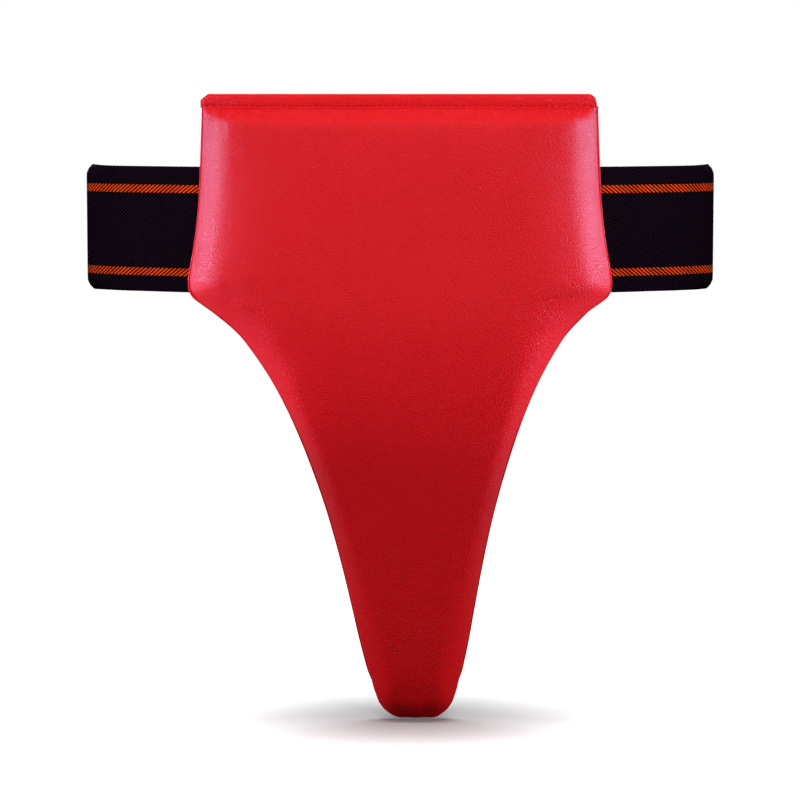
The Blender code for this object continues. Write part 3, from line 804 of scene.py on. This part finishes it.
def makeHem():
    look = hemSettings
    hem = newGrid("topHem", round(2 * look["halfWidth"] / look["cell"]), look["cellsAround"])
    flat = pointsOf(hem)
    length = 2 * look["halfWidth"] + look["leftMore"]
    x, t = length * flat[:, 0] - look["leftMore"] / 2, flat[:, 1] + 0.5
    middle, reach = (look["front"] + look["back"]) / 2, (look["front"] - look["back"]) / 2
    turn = math.pi * np.clip((t - 0.5) / look["arch"] + 0.5, 0, 1)  # 0 in front, half a turn at the back
    shoulder = hemTop(x) - look["crown"]
    low = look["lowZ"] + hemWave(x)
    flatShare = 0.5 - look["arch"] / 2
    frontShare = np.clip(t / flatShare, 0, 1)
    backShare = np.clip((1 - t) / flatShare, 0, 1)
    straight = low + (shoulder - low) * np.minimum(frontShare, backShare)
    depth = middle + reach * np.cos(turn)
    z = straight + look["crown"] * np.sin(turn)
    held = np.exp(-((z - look["stitchZ"] - hemWave(x)) / look["pinchReach"]) ** 2)
    beat = 0.5 + 0.5 * np.cos(2 * math.pi * x / look["pitch"])
    between = look["pinchBetween"]
    depth -= np.sign(np.cos(turn)) * look["pinch"] * held * (between + (1 - between) * beat)
    setPoints(hem, np.c_[x, wrapAt(x) - depth, z])
    inEditMode(hem, selectAll, lambda: bpy.ops.mesh.normals_make_consistent(inside=False))
    addModifier(hem, "SOLIDIFY", thickness=look["leather"], offset=-1)
    smoothShade(hem, 60)
    return dress(hem, hemLeather, "shield", "red_leather", "top_hem")


topHem = makeHem()


# welt: a leather strip folded over on itself and sewn in all round, its fold showing at the edge

weltSettings = {
    "wall": 0.9 * mm,
    "inside": 3.1 * mm,
    "beyondLiner": 0.5 * mm,
    "hub": (5 * mm, -30 * mm),  # the whole edge is seen from here
    "endRun": 2.5 * mm,         # up into the hem
    "tucked": 1.9 * mm,         # drawn in under the tip
    "tuckZ": (-258 * mm, -276 * mm),
    "perSpan": 7,
    "aroundFold": 7,
}


def weltPath():
    # the outer edge of the solid's strip, in order from the left end of the hem round to the right
    look = weltSettings
    hubX, hubZ = look["hub"]
    places = {}
    for vertex in nodes["edge_welt"].data.vertices:
        point = vertex.co
        near = nodes["back_liner"].closest_point_on_mesh(point)[1]
        if math.hypot(point.x - near.x, point.z - near.z) > look["beyondLiner"]:
            turn = (math.atan2(point.z - hubZ, point.x - hubX) - math.pi / 2) % (2 * math.pi)
            places.setdefault(round(turn, 4), []).append(tuple(point))
    path = np.array([np.mean(places[turn], axis=0) for turn in sorted(places)])
    path[0, 2] += look["endRun"]
    path[-1, 2] += look["endRun"]
    return smoothCurve(path, look["perSpan"])


def makeEdgeWelt():
    look = weltSettings
    path = weltPath()
    run = np.gradient(path[:, [0, 2]], axis=0)
    run /= np.linalg.norm(run, axis=1)[:, None]
    outwards = np.c_[run[:, 1], np.zeros(len(path)), -run[:, 0]]
    tuckStart, tuckEnd = look["tuckZ"]
    tuck = look["tucked"] * smoothStep((tuckStart - path[:, 2]) / (tuckStart - tuckEnd))
    path = path - tuck[:, None] * outwards
    radius = look["wall"] / 2
    angles = np.linspace(-math.pi / 2, math.pi / 2, look["aroundFold"])
    fold = [(radius * math.cos(a) - radius, radius * math.sin(a)) for a in angles]
    section = [(-look["inside"], -radius), *fold, (-look["inside"], radius)]
    rings = np.stack([path + out * outwards + (0, deep, 0) for out, deep in section], axis=1)
    around = len(section)
    faces = []
    for i in range(len(path) - 1):
        here, ahead = i * around, (i + 1) * around
        for j in range(around):
            k = (j + 1) % around
            faces.append((here + j, here + k, ahead + k, ahead + j))
    faces += [tuple(range(around)), tuple(range(len(path) * around - around, len(path) * around))]
    welt = newPiece("edgeWelt", rings, faces)
    inEditMode(welt, selectAll, lambda: bpy.ops.mesh.normals_make_consistent(inside=False))
    smoothShade(welt, 60)
    return dress(welt, weltLeather, "shield", "welt_leather", "edge_welt")


edgeWelt = makeEdgeWelt()


# liner and foams: the solids' own forms with soft edges; the cup keeps its own form and takes its plastic

softSettings = {
    "liner": {"edge": 0.4 * mm, "levels": 2, "flat": (240.3 * mm, 364.8 * mm), "area": 0.0527},
    "foam": {"edge": 1.0 * mm, "levels": 1},
    "tab": {"edge": 0.5 * mm, "levels": 1},
    "patch": {"edge": 0.25 * mm, "levels": 1},
}


def softCopy(node, name, kind, thin=0):
    look = softSettings[kind]
    piece = copyNode(node, name)
    if thin:
        thinFrom(piece, thin)
    roundEdges(piece, look["edge"])
    subdivide(piece, look["levels"])
    smoothShade(piece, angle=45)
    return piece


backLiner = softCopy("back_liner", "backLiner", "liner")
dress(backLiner, linerNylon, "shield", "liner_fabric", "back_liner")

for foamNode, foamName in (("front_foam", "frontFoam"), ("rear_foam", "rearFoam")):
    foam = softCopy(foamNode, foamName, "foam")
    dress(foam, paddingFoam, "shield", "foam", foamNode)

nodes["cup_shell"].data.materials.clear()
nodes["cup_shell"].data.materials.append(cupPlastic)


# repeated small parts: one bent tube is made once and copied to its places

def makeUnit(pathMm, radius):
    curve = bpy.data.curves.new("unit", "CURVE")
    curve.dimensions = "3D"
    curve.bevel_depth = radius
    curve.bevel_resolution = 1
    curve.use_fill_caps = True
    line = curve.splines.new("POLY")
    line.points.add(len(pathMm) - 1)
    for point, place in zip(line.points, pathMm):
        point.co = (*(c * mm for c in place), 1)
    unit = bpy.data.objects.new("unit", curve)
    scene.collection.objects.link(unit)
    activate(unit)
    bpy.ops.object.convert(target="MESH")
    unit = bpy.context.object
    made = pointsOf(unit), [tuple(face.vertices) for face in unit.data.polygons]
    bpy.data.objects.remove(unit)
    return made


def repeatUnit(name, unit, places):
    points, faces = unit
    allPoints = np.vstack([points @ np.array(m.to_3x3()).T + np.array(m.translation) for m in places])
    allFaces = [tuple(i + k * len(points) for i in face) for k in range(len(places)) for face in faces]
    row = newPiece(name, allPoints, allFaces)
    smoothShade(row, 70)
    return row


def placeOn(piece, point, cast, ahead, reach=12 * mm):
    # the spot where a ray meets the piece, with x ahead and z out of the surface
    cast = Vector(cast)
    hit, spot, normal, _ = piece.ray_cast(Vector(point) - reach * cast, cast, distance=2 * reach)
    if not hit:
        return None
    ahead = Vector(ahead)
    ahead = (ahead - normal * ahead.dot(normal)).normalized()
    turned = Matrix((ahead, normal.cross(ahead), normal)).transposed().to_4x4()
    turned.translation = spot
    return turned


# closure: loop tape on the left elastic, hook tape under the tab on the right one

closureSettings = {
    "loopSize": (70 * mm, 54 * mm),
    "hookSize": (62 * mm, 46 * mm),
    "tabSize": (71.2 * mm, 58 * mm),
    "tapeThinner": 0.75 * mm,   # of 1.2 mm, which leaves room for the loops and hooks
    "facing": 0.3,              # least share of a normal that counts as facing outwards
    "inset": 2.2 * mm,
    "fieldTurn": (0.37, 1.9),
    "loopPitch": 2.1 * mm,
    "loopPath": ((-0.7, 0, -0.1), (-0.6, 0, 0.3), (-0.25, 0, 0.58),  # in mm
                 (0.25, 0, 0.58), (0.6, 0, 0.3), (0.7, 0, -0.1)),
    "loopThread": 0.11 * mm,
    "hookPitch": 1.8 * mm,
    "hookPath": ((0, 0, -0.1), (0, 0, 0.35), (0.1, 0, 0.55),  # in mm
                 (0.3, 0, 0.58), (0.42, 0, 0.42), (0.42, 0, 0.3)),
    "hookThread": 0.12 * mm,
}


def thinFrom(piece, outwards):
    # takes the tape's one face back, so that what stands on it ends where the solid does
    points, normals = pointsOf(piece), normalsOf(piece)
    outer = normals[:, 1] * outwards > closureSettings["facing"]
    points[outer, 1] -= outwards * closureSettings["tapeThinner"]
    setPoints(piece, points)


def tapeField(name, tape, outwards, path, thread, pitch, turn):
    look = closureSettings
    points = pointsOf(tape)
    low, high = points.min(axis=0) + look["inset"], points.max(axis=0) - look["inset"]
    unit = makeUnit(path, thread)
    perColumn, perRow = look["fieldTurn"]
    places = []
    for i, x in enumerate(np.arange(low[0], high[0], pitch)):
        for j, z in enumerate(np.arange(low[2], high[2], pitch)):
            angle = turn * (perColumn * i * i + perRow * j)  # loops lie all ways, hooks in rows
            ahead = (math.cos(angle), 0, math.sin(angle))
            middle = (x, (points[:, 1].min() + points[:, 1].max()) / 2, z + (i % 2) * pitch / 2)
            place = placeOn(tape, middle, (0, -outwards, 0), ahead)
            if place:
                places.append(place)
    return repeatUnit(name, unit, places)


def makeClosure():
    look = closureSettings
    tab = softCopy("closure_tab", "closureTab", "tab")
    dress(tab, tabNylon, "closure_tab", "tab_fabric", "closure_tab")
    for node, name, outwards, material, slot, body, size, rest in (
        ("loop_patch", "loop", 1, loopNylon, "loop_pile", "shield", look["loopSize"], "leftElastic"),
        ("hook_patch", "hook", -1, hookNylon, "hook_tape", "closure_tab", look["hookSize"], "closureTab"),
    ):
        tape = softCopy(node, name + "Tape", "patch", thin=outwards)
        dress(tape, material, body, slot, node)
        field = tapeField(name + "Field", tape, outwards, look[name + "Path"], look[name + "Thread"],
                          look[name + "Pitch"], 1 if name == "loop" else 0)
        dress(field, material, body, slot)
    return tab, bpy.data.objects["loopTape"]


closureTab, loopTape = makeClosure()


# thread: rows of single stitches along every seam

stitchSettings = {
    "path": ((-1.35, 0, -0.3), (-1.1, 0, 0.05), (-0.5, 0, 0.16),  # in mm
             (0.5, 0, 0.16), (1.1, 0, 0.05), (1.35, 0, -0.3)),
    "thread": 0.27 * mm,
    "pitch": 3.6 * mm,
    "linerInset": 5 * mm,
    "linerTop": 9 * mm,
    "linerTip": 2 * mm,
    "linerRows": 130,
    "linerRowReach": 4 * mm,
    "linerEven": 2,    # rows to each side that even out the outline
    "behindAll": 0.1,  # depth from which rays are cast forwards
    "hemEnds": (1 * mm, 2 * mm),
    "hemSteps": 160,
    "bandBox": ((88 * mm, 116 * mm), (-31 * mm, 31 * mm)),
    "strapLowBox": ((-10.5 * mm, 10.5 * mm), (-246 * mm, -216 * mm)),
    "strapHighBox": ((-11 * mm, 11 * mm), (-30 * mm, 19 * mm)),
    "loopBox": ((24.5 * mm, 89.5 * mm), (-28.5 * mm, 20.5 * mm)),
    "tabBox": ((38 * mm, 95 * mm), (-30 * mm, 22 * mm)),
    "tabEnd": ((29.7 * mm, 38 * mm), (-22 * mm, 14 * mm)),
    "wingRows": (101.5 * mm, 105 * mm),
    "wingHeight": (-36 * mm, 28 * mm),
}
stitch = makeUnit(stitchSettings["path"], stitchSettings["thread"])


def sewRow(name, piece, routes, cast, material, body, slot):
    look = stitchSettings
    places = []
    for route in routes:
        route = np.array(route, float)
        run = runAlong(route)
        count = max(1, round(run[-1] / look["pitch"]))
        for station in (np.arange(count) + 0.5) * run[-1] / count:
            spot = [np.interp(station, run, route[:, i]) for i in range(3)]
            step = min(max(1, np.searchsorted(run, station)), len(run) - 1)
            place = placeOn(piece, spot, cast, route[step] - route[step - 1])
            if place:
                places.append(place)
    return dress(repeatUnit(name, stitch, places), material, body, slot)


def boxRoutes(box, depth, middle=0, crossed=True):
    (x0, x1), (z0, z1) = box
    corners = [(middle + x, depth, z) for x, z in ((x0, z0), (x1, z0), (x1, z1), (x0, z1))]
    routes = [[corners[i - 1], corners[i]] for i in range(4)]
    if crossed:
        routes += [[corners[0], corners[2]], [corners[1], corners[3]]]
    return routes


def linerRoute():
    # the liner's outline from its own points, moved in from the edge
    look = stitchSettings
    points = pointsOf(backLiner)
    top, tip = points[:, 2].max(), points[:, 2].min()
    heights = np.linspace(top - look["linerTop"], tip + look["linerTip"], look["linerRows"])
    left, right = [], []
    for z in heights:
        near = points[np.abs(points[:, 2] - z) < look["linerRowReach"]]
        edge = near[np.argsort(near[:, 0])]
        left.append(edge[0, 0])
        right.append(edge[-1, 0])
    outline = np.vstack([np.c_[left, heights], np.c_[right, heights][::-1]])
    even = np.ones(2 * look["linerEven"] + 1)
    padded = np.pad(outline[:, 0], look["linerEven"], mode="edge")
    outline[:, 0] = np.convolve(padded, even / len(even), mode="valid")
    ahead = np.gradient(outline, axis=0)
    ahead /= np.linalg.norm(ahead, axis=1)[:, None]
    inset = outline + look["linerInset"] * np.c_[-ahead[:, 1], ahead[:, 0]]
    inset = inset[inset[:, 1] > tip + look["linerInset"]]
    return [(x, backAt(x, z), z) for x, z in inset]


def backAt(x, z):
    # depth of the liner's back face
    hit, spot, _, _ = backLiner.ray_cast(Vector((x, stitchSettings["behindAll"], z)), Vector((0, -1, 0)))
    return spot.y if hit else 0


def sewAll():
    look, hem = stitchSettings, hemSettings
    fromFront, fromBack = (0, 1, 0), (0, -1, 0)
    leftGap, rightGap = look["hemEnds"]
    across = np.linspace(-hem["halfWidth"] + leftGap, hem["halfWidth"] - rightGap, look["hemSteps"])
    seam = np.c_[across, wrapAt(across), hem["stitchZ"] + hemWave(across)]
    for name, face, cast in (("hemThreadFront", "front", fromFront), ("hemThreadBack", "back", fromBack)):
        sewRow(name, topHem, [seam - (0, hem[face], 0)], cast, redThread, "shield", "red_leather")
    rows = [("linerThread", backLiner, [linerRoute()], "shield", "liner_fabric")]
    bandX, bandZ = look["bandBox"]
    depth = wrapAt(np.mean(bandX)) + bandSettings["offLiner"]
    for name, band, side in (("leftEndThread", leftElastic, -1), ("rightEndThread", rightElastic, 1)):
        box = tuple(side * x for x in bandX), bandZ
        rows.append((name, band, boxRoutes(box, depth), "shield", "elastic"))
    lowBox = look["strapLowBox"]
    lowRoutes = boxRoutes(lowBox, strapSettings["route"][1][0], float(leanAt(np.mean(lowBox[1]))))
    rows.append(("strapLowThread", crotchStrap, lowRoutes, "shield", "elastic"))
    rear = strapSettings["route"][-1][0]
    rows.append(("strapHighThread", crotchStrap, boxRoutes(look["strapHighBox"], rear), "shield", "elastic"))
    loopRoutes = boxRoutes(look["loopBox"], rear, crossed=False)
    rows.append(("loopThread", loopTape, loopRoutes, "shield", "loop_pile"))
    endX, endZ = look["tabEnd"]
    tabX, tabZ = look["tabBox"]
    corners = ((endX[1], tabZ[1]), (tabX[1], tabZ[1]), (tabX[1], tabZ[0]), (endX[1], tabZ[0]),
               (endX[0], endZ[0]), (endX[0], endZ[1]), (endX[1], tabZ[1]))
    rows.append(("tabThread", closureTab, [[(x, rear, z) for x, z in corners]], "closure_tab", "tab_fabric"))
    wing = [[(x, rear, z) for z in look["wingHeight"]] for x in look["wingRows"]]
    rows.append(("wingThread", rightElastic, wing, "right_wing", "elastic"))
    for name, piece, routes, body, slot in rows:
        sewRow(name, piece, routes, fromBack, blackThread, body, slot)


bpy.context.view_layer.update()
sewAll()


# stage: white floor and sky, soft boxes all round, two low spots, and the camera where the photo has it

stageSettings = {
    "floorGap": 0.2 * mm,
    "floorHalf": 5.0,
    "floorPale": "#F0F0F0",
    "floorDark": "#6A6A6A",      # what diffuse light meets, so that the floor doesn't fill the object's shade
    # the floor glows less beside the tip, out to these radii, which paints a soft shadow round it over the
    # shadow the lamps cast
    "floorGlowWithPaintedShadow": (0.13, 1.0),    # beside the tip and away from it
    "paintedShadowRadius": (0.02, 0.14),  # to the front and back
    "paintedShadowStretch": 1.4,          # and this much further to the sides
    "tip": (9 * mm, 32 * mm),
    # in gloss the white floor and sky show at a tenth, because grazing leather would turn white in all of it
    "seenIn": {"Is Glossy Ray": 0.1, "Is Transmission Ray": 1},
    "overhead": {"place": (0.01, -0.14, 1.1), "aim": (0.01, 0.03, -0.29), "size": (0.9, 0.9), "watts": 19,
                 "colour": (1, 0.98, 1)},
    "front": {"place": (0.38, -0.52, 0.44), "aim": (0, 0, -0.12), "size": (1.0, 0.6), "watts": 5.3,
              "colour": (1, 0.97, 1)},
    "side": {"place": (0.46, 0.05, 0.025), "aim": (0.1, 0, 0.03), "size": (0.34, 0.1), "watts": 1.35,
             "colour": (0.15, 0.62, 1), "spread": 70},
    "rear": {"place": (0, 1.2, 0.7), "aim": (0, 0.04, -0.05), "size": (1.6, 0.8), "watts": 27,
             "colour": (1, 1, 1)},
    "top": {"place": (0, -0.10, 0.75), "aim": (0, -0.01, 0.07), "size": (0.7, 0.3), "watts": 1.3,
            "colour": (1, 0.92, 1)},
    "shoulder": {"place": (0.38, -0.06, -0.27), "aim": (0.108, 0, -0.055), "angle": 36, "watts": 3.5,
                 "radius": 0.02, "colour": (1, 0.9, 0.92), "gloss": False},
    "flank": {"place": (0.40, -0.04, -0.27), "aim": (0.02, 0, -0.28), "size": (0.2, 0.05), "watts": 0.295,
              "colour": (1, 1, 1), "spread": 110, "gloss": False},
    "world": 0.05,
    "camera": {"place": (0, -1.824, 0.088), "pitch": 84.2, "lens": 144, "sensor": 36, "clip": (0.05, 50)},
}


def seenDirectly(tree):
    path = addNode(tree, "LightPath")
    seen = path.outputs["Is Camera Ray"]
    for ray, share in stageSettings["seenIn"].items():
        seen = calculate(tree, "MAXIMUM", seen, calculate(tree, "MULTIPLY", path.outputs[ray], share))
    return seen


def makeFloor():
    look = stageSettings
    bpy.ops.object.select_all(action="DESELECT")
    bpy.ops.mesh.primitive_plane_add(size=2 * look["floorHalf"],
                                     location=(*look["tip"], cadLow.z - look["floorGap"]))
    floor = bpy.context.object
    floor.name = "floor"
    material, tree, shader = newMaterial("matt_white_paper", Roughness=0.9, Specular_IOR_Level=0.05,
                                         Emission_Color=(1, 1, 1, 1))
    seen = seenDirectly(tree)
    stretch = (1 / look["paintedShadowStretch"], 1, 1)
    paintedShadowOval = addNode(tree, "VectorMath", {0: objectPlace(tree), 1: stretch}, operation="MULTIPLY")
    reach = addNode(tree, "VectorMath", {0: paintedShadowOval.outputs["Vector"]}, operation="LENGTH")
    # low glow near the tip paints a shadow there; further out the floor glows evenly white
    away = mapRange(tree, reach.outputs["Value"], look["paintedShadowRadius"], look["floorGlowWithPaintedShadow"], smooth=True)
    plug(tree, shader, Base_Color=mixColours(tree, seen, look["floorDark"], look["floorPale"]),
         Emission_Strength=calculate(tree, "MULTIPLY", seen, away))
    floor.data.materials.append(material)
    return floor


def lightGroup(name, pieces, state):
    group = bpy.data.collections.new(name)
    for number, piece in enumerate(pieces):
        group.objects.link(piece)
        group.collection_objects[number].light_linking.link_state = state
    return group


def addLamp(name, look, group, flip=1):
    light = bpy.data.lights.new(name, "AREA" if "size" in look else "SPOT")
    if "size" in look:
        light.shape = "RECTANGLE"
        light.size, light.size_y = look["size"]
        light.spread = math.radians(look.get("spread", 180))
    else:
        light.spot_size, light.spot_blend = math.radians(look["angle"]), 1
        light.shadow_soft_size = look["radius"]
    light.energy = look["watts"]
    light.color = look["colour"]
    lamp = bpy.data.objects.new(name, light)
    scene.collection.objects.link(lamp)
    lamp.location = (flip * look["place"][0], *look["place"][1:])
    aim = Vector((flip * look["aim"][0], *look["aim"][1:])) - lamp.location
    lamp.rotation_euler = aim.to_track_quat("-Z", "Y").to_euler()
    lamp.visible_glossy = look.get("gloss", True)
    lamp.light_linking.receiver_collection = group


def makeStage():
    look = stageSettings
    floor = makeFloor()
    onlyFloor = lightGroup("onlyFloor", [floor], "INCLUDE")
    leather = [cover, topHem, edgeWelt]
    onlyLeather = lightGroup("onlyLeather", leather, "INCLUDE")
    allButFloor = lightGroup("allButFloor", [floor], "EXCLUDE")
    allButLeather = lightGroup("allButLeather", [floor, *leather], "EXCLUDE")
    addLamp("overheadBox", look["overhead"], onlyFloor)
    # the leather takes the rear box without its gloss, which would whiten the roll under the hem
    addLamp("rearBox", look["rear"], allButLeather)
    addLamp("rearLeatherBox", {**look["rear"], "gloss": False}, onlyLeather)
    addLamp("topBox", look["top"], allButFloor)
    for side, flip in (("left", -1), ("right", 1)):
        addLamp(side + "FrontBox", look["front"], allButFloor, flip)
        addLamp(side + "EdgeBox", look["side"], onlyLeather, flip)
        addLamp(side + "ShoulderSpot", look["shoulder"], onlyLeather, flip)
        addLamp(side + "FlankBox", look["flank"], onlyLeather, flip)
    world = bpy.data.worlds.new("studio")
    world.use_nodes = True
    tree = world.node_tree
    sky = tree.nodes["Background"]
    sky.inputs["Color"].default_value = (1, 1, 1, 1)
    plug(tree, sky, Strength=calculate(tree, "MAXIMUM", seenDirectly(tree), look["world"]))
    scene.world = world
    lens = bpy.data.cameras.new("camera")
    lens.lens = look["camera"]["lens"]
    lens.sensor_width = look["camera"]["sensor"]
    lens.clip_start, lens.clip_end = look["camera"]["clip"]
    camera = bpy.data.objects.new("camera", lens)
    scene.collection.objects.link(camera)
    camera.location = look["camera"]["place"]
    camera.rotation_euler = (math.radians(look["camera"]["pitch"]), 0, 0)
    scene.camera = camera
    print("stage set")


makeStage()
